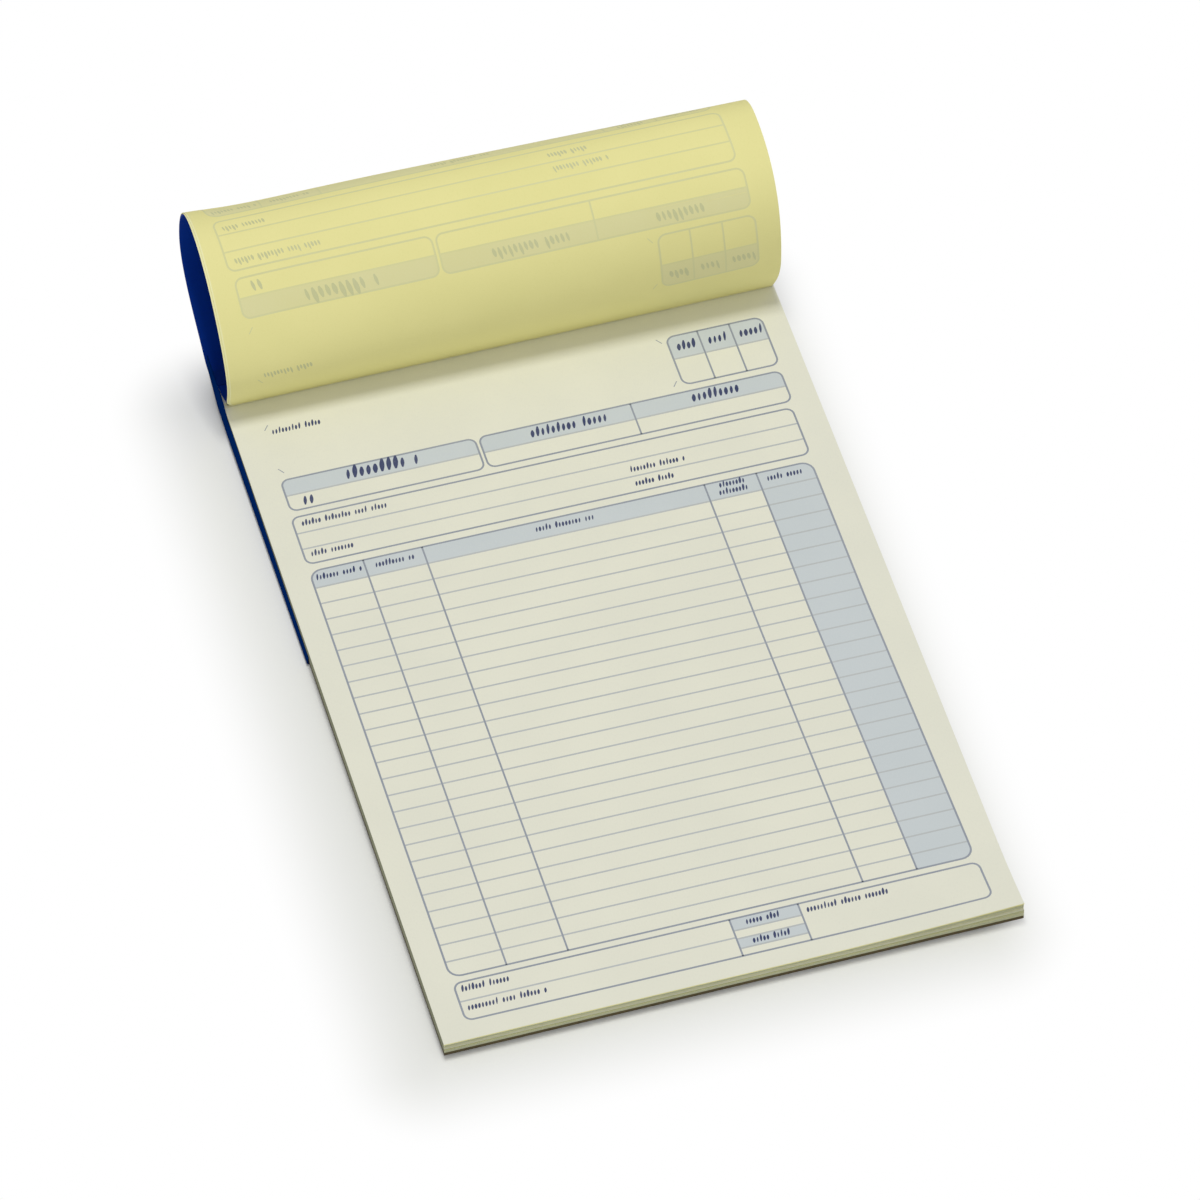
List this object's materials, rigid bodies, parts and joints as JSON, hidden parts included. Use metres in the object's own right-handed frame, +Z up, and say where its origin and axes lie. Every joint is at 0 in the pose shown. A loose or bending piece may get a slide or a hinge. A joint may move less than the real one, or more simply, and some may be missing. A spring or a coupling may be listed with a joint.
{
  "type": "receipt pad",
  "caption": "Part-used A5 pad of two-part carbonless slips, with its blue cover and used yellow slips curled over the head and tucked under the pad.",
  "frame": {"origin": "on the table under the pad, at the middle of the part's width and depth", "axes": "+X to the right of the printed form, +Y from the foot to the bound head, +Z up off the table"},
  "size_m": [0.15, 0.2536, 0.0528],
  "materials": {
    "white_paper": "matt uncoated, cream white, printed in blue-grey",
    "yellow_paper": "matt uncoated, pale yellow",
    "blue_card": "dark blue, smooth, faint sheen",
    "grey_board": "rough brown-grey pulp board",
    "blue_tape": "fine grained binding tape",
    "staple_wire": "drawn and galvanised"
  },
  "bodies": {
    "tucked_flap": {"used_duplicate_2_flap": "yellow_paper", "used_duplicate_1_flap": "yellow_paper", "cover_flap": "blue_card"},
    "pad": {"back_board": "grey_board", "original_01_stub": "white_paper", "duplicate_01_stub": "yellow_paper", "original_02": "white_paper", "duplicate_02": "yellow_paper", "original_03": "white_paper", "duplicate_03": "yellow_paper", "original_04": "white_paper", "duplicate_04": "yellow_paper", "original_05": "white_paper", "duplicate_05": "yellow_paper", "original_06": "white_paper", "duplicate_06": "yellow_paper", "original_07": "white_paper", "duplicate_07": "yellow_paper", "original_08": "white_paper", "duplicate_08": "yellow_paper", "original_09": "white_paper", "duplicate_09": "yellow_paper", "original_10": "white_paper", "duplicate_10": "yellow_paper", "original_11": "white_paper", "duplicate_11": "yellow_paper", "original_12": "white_paper", "duplicate_12": "yellow_paper", "original_13": "white_paper", "duplicate_13": "yellow_paper", "original_14": "white_paper", "duplicate_14": "yellow_paper", "original_15": "white_paper", "duplicate_15": "yellow_paper", "original_16": "white_paper", "duplicate_16": "yellow_paper", "original_17": "white_paper", "duplicate_17": "yellow_paper", "original_18": "white_paper", "duplicate_18": "yellow_paper", "original_19": "white_paper", "duplicate_19": "yellow_paper", "original_20": "white_paper", "duplicate_20": "yellow_paper", "used_duplicate_2_curl": "yellow_paper", "used_original_stub_2": "white_paper", "used_duplicate_1_curl": "yellow_paper", "used_original_stub_1": "white_paper", "cover_curl": "blue_card", "staple_left": "staple_wire", "staple_right": "staple_wire", "spine_tape": "blue_tape"},
    "top_duplicate": {"duplicate_01": "yellow_paper"},
    "top_original": {"original_01": "white_paper"}
  },
  "joints": [
    {"name": "pad_lift", "type": "hinge", "parent": "tucked_flap", "child": "pad", "pos_m": [0, 0.1029, 0], "axis": [-1, 0, 0], "range_deg": [0, 25]},
    {"name": "duplicate_lift", "type": "hinge", "parent": "pad", "child": "top_duplicate", "pos_m": [0, 0.0832, 0.00492], "axis": [-1, 0, 0], "range_deg": [0, 20]},
    {"name": "original_lift", "type": "hinge", "parent": "top_duplicate", "child": "top_original", "pos_m": [0, 0.0832, 0.005], "axis": [-1, 0, 0], "range_deg": [0, 33]}
  ]
}
